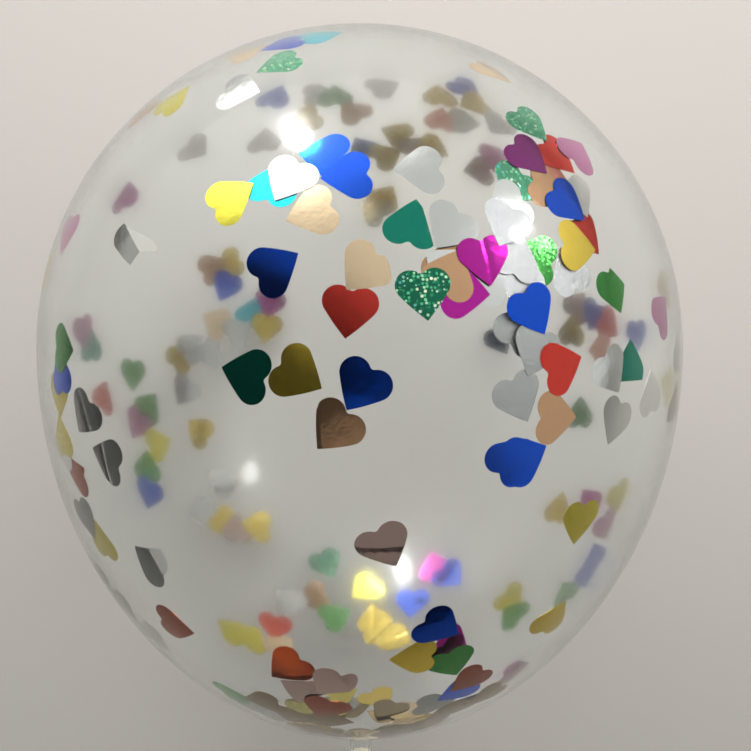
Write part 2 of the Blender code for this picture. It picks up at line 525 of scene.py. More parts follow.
class Wire:
    """An output socket, on which Python's arithmetic adds Math nodes."""

    def __init__(self, shading, socket):
        self.shading = shading
        self.socket = socket

    def math(self, operation, *values):
        return self.shading.node("ShaderNodeMath", {"operation": operation}, dict(enumerate(values)))

    def __add__(self, other):
        return self.math("ADD", self, other)

    __radd__ = __add__

    def __sub__(self, other):
        return self.math("SUBTRACT", self, other)

    def __rsub__(self, other):
        return self.math("SUBTRACT", other, self)

    def __mul__(self, other):
        return self.math("MULTIPLY", self, other)

    __rmul__ = __mul__

    def __gt__(self, other):
        return self.math("GREATER_THAN", self, other)

    def __lt__(self, other):
        return self.math("LESS_THAN", self, other)


class Shading:
    """The nodes of a material, or of the sky, under construction."""

    def __init__(self, owner):
        self.owner = owner
        owner.use_nodes = True
        self.tree = owner.node_tree
        self.tree.nodes.clear()

    def node(self, kind, settings=None, inputs=None, output=0):
        """Adds a node, sets its settings, then feeds its sockets, and gives back one of its outputs."""
        node = self.tree.nodes.new(kind)
        for name, value in (settings or {}).items():
            if name == "stops":
                self.set_stops(node.color_ramp, value)
            else:
                setattr(node, name, value)
        for name, value in (inputs or {}).items():
            self.feed(node.inputs[name], value)
        return Wire(self, node.outputs[output]) if node.outputs else None

    def feed(self, socket, value):
        if isinstance(value, Wire):
            self.tree.links.new(value.socket, socket)
        elif socket.type == "RGBA":
            socket.default_value = (*value, 1.0)
        else:
            socket.default_value = value

    @staticmethod
    def set_stops(ramp, stops):
        while len(ramp.elements) > 1:
            ramp.elements.remove(ramp.elements[-1])
        for index, (place, colour) in enumerate(stops):
            element = ramp.elements[0] if index == 0 else ramp.elements.new(place)
            element.position = place
            element.color = (*colour, 1.0)

    def place(self, output="Object"):
        """Where a point of the surface is on its piece or, for the sky, which way it lies."""
        return self.node("ShaderNodeTexCoord", output=output)

    def noise(self, place, scale, detail, roughness=0.5):
        inputs = {"Vector": place, "Scale": scale, "Detail": detail, "Roughness": roughness}
        return self.node("ShaderNodeTexNoise", inputs=inputs)

    def bump(self, height, strength, distance):
        inputs = {"Height": height, "Strength": strength, "Distance": distance}
        return self.node("ShaderNodeBump", inputs=inputs)

    def mix(self, factor, first, second):
        """Colour between two colours."""
        inputs = {0: factor, 6: first, 7: second}
        return self.node("ShaderNodeMix", {"data_type": "RGBA"}, inputs, output=2)

    def vector(self, operation, *values):
        output = "Value" if operation == "DOT_PRODUCT" else 0
        return self.node("ShaderNodeVectorMath", {"operation": operation}, dict(enumerate(values)), output)

    def scaled(self, vector, scale):
        inputs = {"Vector": vector, "Scale": scale}
        return self.node("ShaderNodeVectorMath", {"operation": "SCALE"}, inputs)

    def along(self, place, way, start, end, low=0.0, high=1.0, run="SMOOTHSTEP"):
        """Runs from low to high as a place moves from start to end along a way."""
        inputs = {"Value": self.vector("DOT_PRODUCT", place, way), "From Min": start, "From Max": end}
        inputs |= {"To Min": low, "To Max": high}
        return self.node("ShaderNodeMapRange", {"interpolation_type": run}, inputs)

    def finish(self, inputs):
        """Ends a material in one shader and gives the material back."""
        surface = self.node("ShaderNodeBsdfPrincipled", inputs=inputs)
        self.node("ShaderNodeOutputMaterial", inputs={"Surface": surface})
        return self.owner


# Ways that a look changes along: from the neck towards the crown, and over the floor from left to right.
ALONG = (0.0, 1.0, 0.0)
LEFT_TO_RIGHT = (0.9, 0.25, 0.0)

# Where powder begins to cling inside the skin, and where it is as thick as it gets, along the balloon.
POWDER_START = -0.145
POWDER_FULL = -0.095
# Painted shade that darkens and greys the face of each heart that looks into the balloon.
INSIDE_FACE_PAINTED_SHADE = (0.22, 0.20, 0.17)

# Painted light and shade in the floor's paint: darker at the near end, lighter at the far end, shaded on the
# left.
FLOOR_PAINTED_LIGHT_ENDS = (-0.45, 0.45)
FLOOR_PAINTED_LIGHT_TONES = (0.60, 1.08)
PAINTED_SHADE_EDGES = (-0.66, -0.34)
PAINTED_SHADE_TONE = 0.12

# Facets of glitter, and dots of holographic foil, along each unit of the film's pattern. How far a dot is off
# an even grid and its radius are in shares of the distance between dots.
GLITTER_SCALE = 24.0
DOT_SCALE = 15.0
DOT_SCATTER = 0.6
DOT_RADIUS = 0.42
# A ramp of colours. Each dot of a holographic foil has a random place on it.
DOT_COLOURS = (
    (0.0, (0.02, 0.36, 0.18)),
    (0.30, (0.10, 0.62, 0.34)),
    (0.55, (0.32, 0.86, 0.50)),
    (0.75, (0.62, 0.95, 0.60)),
    (0.87, (0.08, 0.45, 0.55)),
    (0.95, (0.98, 0.95, 0.70)),
)


def darker(colour, share):
    return tuple(channel * share for channel in colour)


def paler(colour, share, lift=0.0):
    return tuple(min(1.0, channel * share + lift) for channel in colour)


def latex_material():
    """Stretched clear latex, hazy where powder clings inside it and clearer towards the neck."""
    shading = Shading(bpy.data.materials.new("clear_latex"))
    place = shading.place()
    cloud = shading.noise(place, 14.0, 3.0)
    powder = shading.noise(place, 6000.0, 0.0)
    dusty = shading.along(place, ALONG, POWDER_START, POWDER_FULL, run="LINEAR")
    haze = ((powder > 0.54) * 0.20 + 0.05) * dusty
    return shading.finish(
        {
            "Base Color": shading.mix(cloud, (0.965, 0.99, 0.99), (0.95, 0.975, 0.97)),
            "Roughness": haze + 0.02,
            "IOR": 1.12,
            "Transmission Weight": 1.0,
            "Coat Weight": 0.05,
            "Coat Roughness": 0.05,
            "Coat IOR": 1.9,
            "Sheen Weight": 0.08,
            "Sheen Roughness": 0.3,
            "Sheen Tint": (1.0, 0.93, 0.80),
        }
    )


def gathered_latex_material():
    """Unstretched latex: thick, cream and cloudy, with powder in its folds."""
    shading = Shading(bpy.data.materials.new("gathered_latex"))
    place = shading.place()
    cloud = shading.noise(place, 160.0, 4.0)
    powder = shading.noise(place, 900.0, 2.0)
    return shading.finish(
        {
            "Base Color": shading.mix(cloud, (0.80, 0.72, 0.55), (0.90, 0.85, 0.72)),
            "Roughness": powder * 0.25 + 0.28,
            "IOR": 1.45,
            "Transmission Weight": 0.30,
            "Sheen Weight": 0.15,
            "Sheen Roughness": 0.4,
            "Normal": shading.bump(powder, 0.3, 0.0002),
        }
    )


def facets(shading, flat, scale, scatter, output):
    """Flat facets across the film: one of the outputs of a pattern of cells."""
    inputs = {"Vector": flat, "Scale": scale, "Randomness": scatter}
    return shading.node("ShaderNodeTexVoronoi", inputs=inputs, output=output)


def leaning_facets(shading, spark, spread):
    """The film's own facing, tipped another way on each facet."""
    facing = shading.node("ShaderNodeNewGeometry", output="Normal")
    lean = shading.scaled(shading.vector("SUBTRACT", spark, (0.5, 0.5, 0.5)), spread)
    return shading.vector("NORMALIZE", shading.vector("ADD", facing, lean))


def glitter_look(shading, flat, colour, tone):
    """(tone, facing) of a foil of fine glitter."""
    spark = facets(shading, flat, GLITTER_SCALE, 1.0, "Color")
    share = shading.node("ShaderNodeSeparateColor", inputs={"Color": spark})
    return shading.mix(share * 0.8, tone, paler(colour, 1.3, 0.03)), leaning_facets(shading, spark, 0.12)


def holographic_look(shading, flat, tone):
    """(tone, facing) of a foil embossed with round dots, each of its own colour."""
    spark = facets(shading, flat, DOT_SCALE, DOT_SCATTER, "Color")
    dot = facets(shading, flat, DOT_SCALE, DOT_SCATTER, "Distance") < DOT_RADIUS
    share = shading.node("ShaderNodeSeparateColor", inputs={"Color": spark})
    rainbow = shading.node("ShaderNodeValToRGB", {"stops": DOT_COLOURS}, {"Fac": share})
    return shading.mix(dot, tone, rainbow), leaning_facets(shading, spark, dot * 0.20 + 0.08)


def foil_material(name):
    """Metallised film: a tinted mirror with fine crinkles, or one embossed with glitter or dots."""
    colour = tuple(getattr(bpy.context.scene.foil_colours, name))
    _, roughness, finish = FOILS[name]
    shading = Shading(bpy.data.materials.new(f"foil_{name}"))
    flat = shading.node("ShaderNodeUVMap", {"uv_map": "flat"})
    lot = shading.node("ShaderNodeAttribute", {"attribute_name": "lot"}, output="Fac")
    tone = shading.mix(lot, darker(colour, 0.82), paler(colour, 1.10))
    if finish == "glitter":
        tone, facing = glitter_look(shading, flat, colour, tone)
    elif finish == "holographic":
        tone, facing = holographic_look(shading, flat, tone)
    elif finish == "crinkled":
        facing = shading.bump(shading.noise(flat, 11.0, 5.0, 0.65), 0.9, 0.0006)
    else:
        facing = shading.bump(shading.noise(flat, 2.2, 5.0), 0.35, 0.0006)
    scuffs = shading.noise(flat, 9.0, 4.0, 0.6)
    # Painted shade: the face that looks into the balloon, which the far hearts show, is darker and greyer.
    inside = shading.node("ShaderNodeAttribute", {"attribute_name": "inside"}, output="Fac")
    return shading.finish(
        {
            "Base Color": shading.mix(inside * 0.42, tone, INSIDE_FACE_PAINTED_SHADE),
            "Metallic": 1.0,
            "Roughness": (scuffs - 0.5) * 0.10 + roughness,
            "Normal": facing,
        }
    )


def floor_material(colour):
    """Pale paint with painted light, fading towards the near end, and painted shade on the left, where the
    foils of that side show it.
    """
    shading = Shading(bpy.data.materials.new("floor_paint"))
    place = shading.place()
    cloud = shading.noise(place, 3.0, 2.0)
    tone = shading.mix(cloud, colour, darker(colour, 0.97))
    # Painted light: the paint gets lighter towards the far end.
    tone = shading.scaled(tone, shading.along(place, ALONG, *FLOOR_PAINTED_LIGHT_ENDS, *FLOOR_PAINTED_LIGHT_TONES))
    # Painted shade on the left, which the foils on that side reflect.
    clear_of_painted_shade = shading.along(place, LEFT_TO_RIGHT, *PAINTED_SHADE_EDGES)
    return shading.finish(
        {
            "Base Color": shading.mix(clear_of_painted_shade, darker(colour, PAINTED_SHADE_TONE), tone),
            "Roughness": 0.8,
            "Specular IOR Level": 0.1,
        }
    )


# Skin, neck, knot and tail

FILLET_RINGS = 8
NECK_RINGS = 4
# The skin runs this far on into the knot and closes there in a low dome, this many walls thick.
NECK_OVERLAP = 0.0010
END_DOME = 0.0013
END_WALLS = 5.0

# The knot's core runs this far up into the neck, and its own dome reaches a little further.
CORE_RINGS = 13
CORE_OVERLAP = 0.0012
CORE_DOME = 0.0016

TAIL_SIDES = 120
TAIL_RINGS = 30
LIP_RINGS = 12
MOUTH_RINGS = 12
MOUTH_DOME = 0.0006

# Depths of the tail's folds, as shares of its radius: where it leaves the knot, half way, and at its mouth.
ROOT_FOLDS = 0.17
MIDDLE_FOLDS = 0.05
MOUTH_FOLDS = 0.045
# Depth of the fine pleats in the gathered latex of the knot, as a share of its radius.
GATHERS = 0.07

STRAND_SIDES = 24
# The strand's winding round the core: where it begins and how far it goes, in shares of the knot's length,
# how far its middle is above the core, in strands, and the share of it that each end takes to tuck in, down
# to the root's distance from the axis.
WINDING_STEPS = 160
WINDING_START = 0.27
WINDING_RUN = 0.46
WINDING_RISE = 0.45
WINDING_ENDS = 0.1
WINDING_ROOT = 0.0015
# The strand's last pass over the winding, in the same way. Its ends lie a depth below the core's surface,
# and its thickness, in strands, swells between them.
BRIDGE_STEPS = 60
BRIDGE_START = 0.14
BRIDGE_RUN = 0.74
BRIDGE_SWEEP = math.radians(150)
BRIDGE_RISE = 1.15
BRIDGE_ENDS = 0.35
BRIDGE_SINK = 0.0012
BRIDGE_THICKNESS = 0.72
BRIDGE_SWELL = 0.2


def new_piece(name, mesh, material):
    """Makes an object of a bmesh given beside the axis, lays it down and shades it smooth."""
    mesh.transform(lie_down())
    data = bpy.data.meshes.new(name)
    mesh.to_mesh(data)
    mesh.free()
    data.shade_smooth()
    data.set_sharp_from_angle(angle=SHARP_ANGLE)
    data.materials.append(material)
    piece = bpy.data.objects.new(name, data)
    bpy.context.scene.collection.objects.link(piece)
    return piece


def bridge(mesh, loops):
    """Joins each loop to the next one with a band of faces."""
    for first, second in zip(loops, loops[1:]):
        for index in range(len(first)):
            after = (index + 1) % len(first)
            mesh.faces.new((first[index], second[index], second[after], first[after]))


def fan(mesh, point, loop):
    tip = mesh.verts.new(point)
    for index, vertex in enumerate(loop):
        mesh.faces.new((tip, vertex, loop[(index + 1) % len(loop)]))


def angles_round(sides):
    return [2.0 * math.pi * side / sides for side in range(sides)]


def round_axis(angle, radius, station):
    return Vector((radius * math.cos(angle), station, radius * math.sin(angle)))


def polar_direction(polar, angle):
    """Direction of the unit ball at an angle from the crown, and an angle round the axis."""
    return round_axis(angle, math.sin(polar), math.cos(polar))


def pleat(station, angle):
    """How far a pleat stands out at a place on the body or neck."""
    neck = neck_sizes()
    fade = max(0.0, 1.0 - (station - knot_start()) / neck.pleat_reach) ** 2
    return neck.pleat_depth * fade * math.cos(neck.pleats * angle)


def body_loop(mesh, polar, inset):
    """One ring of the body's skin, at an angle from the crown."""
    loop = []
    for angle in angles_round(body_sizes().segments):
        direction = polar_direction(polar, angle)
        wall = wall_point(direction)
        fold = round_axis(angle, pleat(wall.y, angle), 0.0)
        loop.append(mesh.verts.new(wall - wall_normal(direction) * inset + fold))
    return loop


def neck_loop(mesh, station, radius):
    return [
        mesh.verts.new(round_axis(angle, radius + pleat(station, angle), station))
        for angle in angles_round(body_sizes().segments)
    ]


def skin_loops(mesh, inset):
    """Adds one wall of the skin, set in by a depth, from crown to knot, and gives back its loops."""
    rings = body_sizes().rings
    neck = neck_sizes()
    quarter = 0.5 * math.pi
    polars = [quarter * index / rings for index in range(1, rings)]
    polars += [quarter + taper_end_angle() * index / rings for index in range(rings + 1)]
    loops = [body_loop(mesh, polar, inset) for polar in polars]
    for index in range(1, FILLET_RINGS + 1):
        turn = quarter * index / FILLET_RINGS
        station = fillet_start() - neck.fillet * (1.0 - math.cos(turn))
        radius = neck.radius + neck.fillet * (1.0 - math.sin(turn))
        loops.append(neck_loop(mesh, station, radius - inset))
    for index in range(1, NECK_RINGS + 1):
        station = fillet_start() - neck.fillet - (neck.length + NECK_OVERLAP) * index / NECK_RINGS
        loops.append(neck_loop(mesh, station, neck.radius - inset))
    return loops


def add_skin_wall(mesh, inset, facing_in):
    """Adds one closed wall of the skin, set in by a depth."""
    sizes = body_sizes()
    known = set(mesh.faces)
    loops = skin_loops(mesh, inset)
    bridge(mesh, loops)
    fan(mesh, Vector((0.0, sizes.crown_length - inset, 0.0)), loops[0])
    end = knot_start() - END_DOME + END_WALLS * (inset - sizes.inset)
    fan(mesh, Vector((0.0, end, 0.0)), loops[-1])
    faces = [face for face in mesh.faces if face not in known]
    bmesh.ops.recalc_face_normals(mesh, faces=faces)
    if facing_in:
        bmesh.ops.reverse_faces(mesh, faces=faces)


def tail_centre(along):
    """The middle of the tail at a distance from the knot, and the turn of its ring there."""
    neck = neck_sizes()
    turn = neck.tail_droop * along / neck.tail_length
    bend = neck.tail_length / neck.tail_droop
    station = knot_start() - neck.knot_length - bend * math.sin(turn)
    return Vector((0.0, station, -bend * (1.0 - math.cos(turn)))), turn


def tail_radius(share):
    neck = neck_sizes()
    return neck.tail_root + (neck.tail_mouth - neck.tail_root) * share**neck.tail_flare


def tail_fold(angle, share):
    """How far the tail's wall folds out at an angle round it, as a share of its radius there."""
    pleats = neck_sizes().pleats
    folds = ROOT_FOLDS * (1.0 - share) ** 1.3 * math.cos(pleats * angle + 1.4 * share)
    folds += MIDDLE_FOLDS * math.sin(math.pi * share) * math.cos(5.0 * angle)
    folds += MOUTH_FOLDS * share * math.cos(3.0 * angle + 0.9)
    return folds if folds < 0.0 else 0.5 * folds


def tail_loop(mesh, along, radius, share):
    """One ring of the tail: folded where it leaves the knot, flat and a little wavy at its mouth."""
    centre, turn = tail_centre(along)
    rotation = Euler((turn, 0.0, 0.0)).to_matrix()
    flatness = 1.0 + (neck_sizes().tail_flatness - 1.0) * share
    loop = []
    for angle in angles_round(TAIL_SIDES):
        place = round_axis(angle, radius * (1.0 + tail_fold(angle, share)), 0.0)
        place.z *= flatness
        loop.append(mesh.verts.new(centre + rotation @ place))
    return loop


def core_loop(mesh, index):
    """One ring of the knot's core, gathered in pleats that wind round it."""
    neck = neck_sizes()
    station = knot_start() + CORE_OVERLAP - (neck.knot_length + CORE_OVERLAP) * index / CORE_RINGS
    loop = []
    for angle in angles_round(TAIL_SIDES):
        folds = GATHERS * math.cos(neck.pleats * angle + 0.2 * index)
        loop.append(mesh.verts.new(round_axis(angle, neck.knot_core * (1.0 + folds), station)))
    return loop


def tail_rings():
    """(distance from the knot, radius, share of the tail's length) along the tail, lip and hollow inside."""
    neck = neck_sizes()
    for index in range(TAIL_RINGS + 1):
        share = index / TAIL_RINGS
        yield neck.tail_length * share, tail_radius(share), share
    for index in range(1, LIP_RINGS + 1):
        turn = math.pi * index / LIP_RINGS
        radius = neck.tail_mouth + neck.lip * math.sin(turn)
        yield neck.tail_length + neck.lip * (1.0 - math.cos(turn)), radius, 1.0
    depth = neck.mouth_depth + 2.0 * neck.lip
    for index in range(MOUTH_RINGS + 1):
        along = neck.tail_length + 2.0 * neck.lip - depth * index / MOUTH_RINGS
        share = min(1.0, along / neck.tail_length)
        yield along, neck.tail_mouth - neck.lip if index == 0 else tail_radius(share) - neck.film, share


def add_tail(mesh):
    """The knot's core, the flaring tail, its rolled lip and its hollow inside, as one closed surface."""
    neck = neck_sizes()
    loops = [core_loop(mesh, index) for index in range(CORE_RINGS)]
    loops += [tail_loop(mesh, *ring) for ring in tail_rings()]
    bridge(mesh, loops)
    fan(mesh, Vector((0.0, knot_start() + CORE_DOME, 0.0)), loops[0])
    fan(mesh, tail_centre(neck.tail_length - neck.mouth_depth - MOUTH_DOME)[0], loops[-1])


def add_strand(mesh, path, steps):
    """Sweeps a gathered strand along a path of (angle, station, distance from the axis, thickness)."""
    places = []
    for index in range(steps + 1):
        angle, station, reach, thickness = path(index / steps)
        places.append((round_axis(angle, reach, station), thickness))
    loops = []
    for index, (place, thickness) in enumerate(places):
        ahead = (places[min(steps, index + 1)][0] - places[max(0, index - 1)][0]).normalized()
        side = ahead.cross(Vector((place.x, 0.0, place.z))).normalized()
        out = side.cross(ahead)
        loop = []
        for angle in angles_round(STRAND_SIDES):
            radius = thickness * (1.0 + GATHERS * math.cos(6.0 * angle + 0.09 * index))
            loop.append(mesh.verts.new(place + (side * math.cos(angle) + out * math.sin(angle)) * radius))
        loops.append(loop)
    bridge(mesh, loops)
    fan(mesh, places[0][0], loops[0])
    fan(mesh, places[-1][0], loops[-1])


def arch(share, reach):
    """Rises smoothly from 0 at the start to 1, and back at the end, over a share of the way at each end."""
    rise = 1.0
    for done in (share / reach, (1.0 - share) / reach):
        done = max(0.0, min(1.0, done))
        rise *= done * done * (3.0 - 2.0 * done)
    return rise


def knot_winding(share):
    """The strand wound round the core, from where it leaves the neck until it tucks under itself."""
    neck = neck_sizes()
    turn = 2.0 * math.pi * neck.knot_turns * share
    sunk = 1.0 - arch(share, WINDING_ENDS)
    # The turns lean one way at first and the other way at the end, so that they cross.
    lean = neck.knot_lean * (1.0 - 2.0 * share) * math.cos(turn)
    station = knot_start() - neck.knot_length * (WINDING_START + WINDING_RUN * share) - lean
    reach = neck.knot_core + WINDING_RISE * neck.strand - sunk * (neck.knot_core - WINDING_ROOT)
    return neck.crossing + turn, station, reach, neck.strand


def knot_bridge(share):
    """The strand's last pass, over its own turns and down towards the tail."""
    neck = neck_sizes()
    rise = arch(share, BRIDGE_ENDS)
    station = knot_start() - neck.knot_length * (BRIDGE_START + BRIDGE_RUN * share)
    reach = neck.knot_core - BRIDGE_SINK + rise * (BRIDGE_SINK + BRIDGE_RISE * neck.strand)
    thickness = neck.strand * (BRIDGE_THICKNESS + BRIDGE_SWELL * rise)
    return neck.crossing + BRIDGE_SWEEP * (share - 0.5), station, reach, thickness


# Hearts

# Rings of a heart's sheet, from its rim inwards, as shares of its outline.
HEART_RINGS = (1.0, 0.94, 0.70, 0.42, 0.18)
NOTCH_STEPS = 3
LOBE_STEPS = 13
SIDE_STEPS = 5
TOLERANCE = 1e-6

# Hearts whose middles are nearer than this share of a width lie on one another, with less room to lift.
OVERLAP = 0.95
CROWDED_SLACK = 0.12
# Where the curl begins, before the middle of the heart, in halves of its width.
CURL_LEAD = 0.2
# The film's pattern: how many units there are in a metre, and in the stretch that hearts are cut from.
PATTERN_SCALE = 50.0
PATTERN_SPAN = 50.0

# The heap round the neck: its foils and, in degrees from the axis, where it begins and how far it goes.
HEAP_FOILS = ("gold", "old_gold", "champagne", "steel", "bronze", "cocoa")
HEAP_START = 5.0
HEAP_REACH = 10.0


def arc(middle, radius, start, end, steps):
    """Points along an arc, from its start and up to its end."""
    angles = [start + (end - start) * index / steps for index in range(steps + 1)]
    return [middle + Vector((math.cos(angle), math.sin(angle))) * radius for angle in angles]


def heart_outline():
    """Points round a heart of unit width, anticlockwise from its notch, with the tip at -Y."""
    sizes = heart_sizes()
    lobe = Vector((sizes.lobe_across, sizes.lobe_up))
    reach = sizes.lobe + sizes.notch
    notch = Vector((0.0, lobe.y + math.sqrt(reach * reach - lobe.x * lobe.x)))
    meeting = math.atan2(notch.y - lobe.y, notch.x - lobe.x)
    tip = Vector((0.0, -sizes.tip))
    side = math.asin(sizes.lobe / (lobe - tip).length) + math.atan2(lobe.x, lobe.y - tip.y)
    half = arc(notch, sizes.notch, -0.5 * math.pi, meeting - math.pi, NOTCH_STEPS)
    half += arc(lobe, sizes.lobe, meeting, -side, LOBE_STEPS)[1:]
    start = half[-1]
    outward = Vector((math.cos(side), -math.sin(side)))
    for index in range(1, SIDE_STEPS):
        share = index / SIDE_STEPS
        half.append(start.lerp(tip, share) + outward * sizes.belly * math.sin(math.pi * share))
    mirrored = [Vector((-point.x, point.y)) for point in reversed(half[1:])]
    return [*mirrored, *half, tip][::-1]


def flat_heart(bends):
    """One heart as a flat sheet, cut along its bends: (points, faces, rim edges), anticlockwise."""
    width = heart_sizes().width
    outline = [point.to_3d() * width for point in heart_outline()]
    mesh = bmesh.new()
    rings = [[mesh.verts.new(point * scale) for point in outline] for scale in HEART_RINGS]
    for outer, inner in zip(rings, rings[1:]):
        for index in range(len(outline)):
            after = (index + 1) % len(outline)
            mesh.faces.new((outer[index], outer[after], inner[after], inner[index]))
    mesh.faces.new(rings[-1])
    for bend in bends:
        for offset in bend.lines():
            everything = mesh.verts[:] + mesh.edges[:] + mesh.faces[:]
            line = {"plane_co": (bend.way * offset).to_3d(), "plane_no": bend.way.to_3d()}
            bmesh.ops.bisect_plane(mesh, geom=everything, dist=TOLERANCE, **line)
    mesh.verts.index_update()
    points = [vertex.co.to_2d() for vertex in mesh.verts]
    faces = [[vertex.index for vertex in face.verts] for face in mesh.faces]
    loops = [edge.link_loops[0] for edge in mesh.edges if edge.is_boundary]
    rim = [(loop.vert.index, loop.link_loop_next.vert.index) for loop in loops]
    mesh.free()
    return points, faces, rim


class Bend:
    """A straight bend across a heart, in the heart's own flat frame."""

    def __init__(self, kind, way, offset, amount, turn):
        # The tip points along turn on the balloon, and along 270 degrees in the flat frame.
        angle = math.radians(way - turn + 270.0)
        self.kind = kind
        self.way = Vector((math.cos(angle), math.sin(angle)))
        self.offset = offset * MILLIMETRE
        self.amount = amount

    def lines(self):
        """How far from the heart's middle the sheet is cut, so that it can bend there."""
        if self.kind == "crease":
            reach = heart_sizes().crease
            return [self.offset - reach, self.offset, self.offset + reach]
        return [self.offset]

    def bend(self, flat, depth):
        """Where the bend takes a place on the film and its depth below the sheet's outer face."""
        beyond = self.way.dot(flat) - self.offset
        if self.kind == "crease":
            pinch = max(0.0, 1.0 - abs(beyond) / heart_sizes().crease)
            return flat, depth + self.amount * MILLIMETRE * pinch
        if beyond <= TOLERANCE:
            return flat, depth
        turn = math.radians(self.amount)
        along = beyond * math.cos(turn) - depth * math.sin(turn)
        return flat + self.way * (along - beyond), beyond * math.sin(turn) + depth * math.cos(turn)


class Heart:
    """Where one heart lies against the wall, and how it bends off it."""

    def __init__(self, direction, turn, bends, layer, crowded, draw):
        sizes = heart_sizes()
        slack = CROWDED_SLACK if crowded else 1.0
        self.origin = wall_point(direction)
        normal = wall_normal(direction)
        right = (Vector((1.0, 0.0, 0.0)) - normal * normal.x).normalized()
        up = normal.cross(right)
        if up.y < 0.0:
            up.negate()
        spin = math.radians(turn)
        self.tip = right * math.cos(spin) + up * math.sin(spin)
        self.side = normal.cross(self.tip).normalized()
        self.bends = [Bend(*bend, turn) for bend in bends]
        self.least = body_sizes().wall + sizes.gap + layer * sizes.stack
        self.tilt = Vector((draw.uniform(-1.0, 1.0), draw.uniform(-1.0, 1.0))) * sizes.tilt * slack
        way = draw.uniform(0.0, 2.0 * math.pi)
        self.curl_way = Vector((math.cos(way), math.sin(way)))
        self.curl = draw.random() ** 2 * sizes.curl * slack
        self.lot = draw.random()
        self.shift = Vector((draw.uniform(0.0, PATTERN_SPAN), draw.uniform(0.0, PATTERN_SPAN)))

    def place(self, flat, face):
        """A point on one face of the film (0 outer, 1 inner), given a flat place on it."""
        sizes = heart_sizes()
        half = 0.5 * sizes.width
        curled = max(0.0, self.curl_way.dot(flat) / half + CURL_LEAD)
        lift = self.tilt.dot(flat) + self.tilt.length * half + self.curl * curled * curled
        depth = sizes.film * face
        for bend in self.bends:
            flat, depth = bend.bend(flat, depth)
        # The outline's tip points down its own -Y, so that way is the tip's.
        direction = ball_direction(self.origin + self.side * flat.x - self.tip * flat.y)
        inset = body_sizes().inset + self.least + lift + depth
        return wall_point(direction) - wall_normal(direction) * inset

    def raised(self, flat, face, laid):
        """The same point, kept above the skin where the balloon is pressed flat."""
        point = self.place(flat, face)
        least = self.least + heart_sizes().film * face
        return point + laid.to_3x3().transposed().col[2] * max(0.0, least - (laid @ point).z)


class FoilMesh:
    """The hearts of one foil, each a thin closed sheet."""

    def __init__(self):
        self.mesh = bmesh.new()
        self.laid = lie_down()
        self.lot = self.mesh.verts.layers.float.new("lot")
        self.pattern = self.mesh.loops.layers.uv.new("flat")
        self.inside = self.mesh.faces.layers.float.new("inside")
        self.flats = {}

    def add_points(self, heart, points, side):
        """Adds the points of one face of the film (0 outer, 1 inner)."""
        vertices = []
        for point in points:
            vertex = self.mesh.verts.new(heart.raised(point, side, self.laid))
            vertex[self.lot] = heart.lot
            self.flats[vertex] = point * PATTERN_SCALE + heart.shift
            vertices.append(vertex)
        return vertices

    def add_face(self, corners, inside):
        face = self.mesh.faces.new(corners)
        face[self.inside] = inside
        for loop in face.loops:
            loop[self.pattern].uv = self.flats[loop.vert]

    def add_heart(self, heart):
        points, faces, rim = flat_heart(heart.bends)
        outer = self.add_points(heart, points, 0)
        inner = self.add_points(heart, points, 1)
        for face in faces:
            self.add_face([outer[index] for index in face], 0)
        for face in faces:
            self.add_face([inner[index] for index in reversed(face)], 1)
        for first, second in rim:
            self.add_face([outer[second], outer[first], inner[first], inner[second]], 0)


def wall_direction(across, along, side):
    """Direction of the wall at millimetres across and along, on the near (1) or far (-1) side."""
    offset = across * MILLIMETRE / body_sizes().body_radius
    share = along * MILLIMETRE / half_length(along)
    height = 1.0 - share * share - offset * offset
    return Vector((offset, share, side * math.sqrt(max(0.0, height)))).normalized()


def heap_hearts(draw):
    """Hearts that have slid down round the neck."""
    hearts = []
    for _ in range(heart_sizes().heap):
        polar = math.radians(HEAP_START + HEAP_REACH * math.sqrt(draw.random()))
        direction = polar_direction(math.pi - polar, draw.uniform(0.0, 2.0 * math.pi))
        hearts.append((draw.choice(HEAP_FOILS), direction, draw.uniform(0.0, 360.0), ()))
    return hearts


def all_hearts():
    """(foil, direction, turn, bends) of every heart, those against the wall before those that lie on them."""
    hearts = []
    for side, rows in ((1, NEAR_HEARTS), (-1, FAR_HEARTS)):
        for foil, across, along, turn, *bends in rows:
            hearts.append((foil, wall_direction(across, along, side), turn, bends))
    return hearts + heap_hearts(random.Random(heart_sizes().seed))


def placed_hearts():
    """(foil, Heart) of every heart. Each lies one layer in from the innermost of those that it overlaps."""
    sizes = heart_sizes()
    draw = random.Random(sizes.seed + 1)
    rows = all_hearts()
    points = [wall_point(direction) for _, direction, _, _ in rows]
    layers = []
    hearts = []
    for index, (foil, direction, turn, bends) in enumerate(rows):
        gaps = [(point - points[index]).length for point in points]
        near = [other for other, gap in enumerate(gaps) if gap < OVERLAP * sizes.width]
        layer = max((layers[other] for other in near if other < index), default=-1) + 1
        layers.append(layer)
        hearts.append((foil, Heart(direction, turn, bends, layer, len(near) > 1, draw)))
    return hearts


# Studio

FLOOR_SIZE = 30.0
SENSOR_WIDTH = 36.0
NEAR_CLIP = 0.01

# Lamps: place beside the axis, and size.
CEILING_LAMP = ((-0.395, 1.335, 0.48), (0.18, 0.26))
SIDE_LAMP = ((1.05, 0.74, 0.68), (0.11, 0.11))
FILL_LAMP = ((0.22, 0.78, 1.10), (2.0, 2.0))

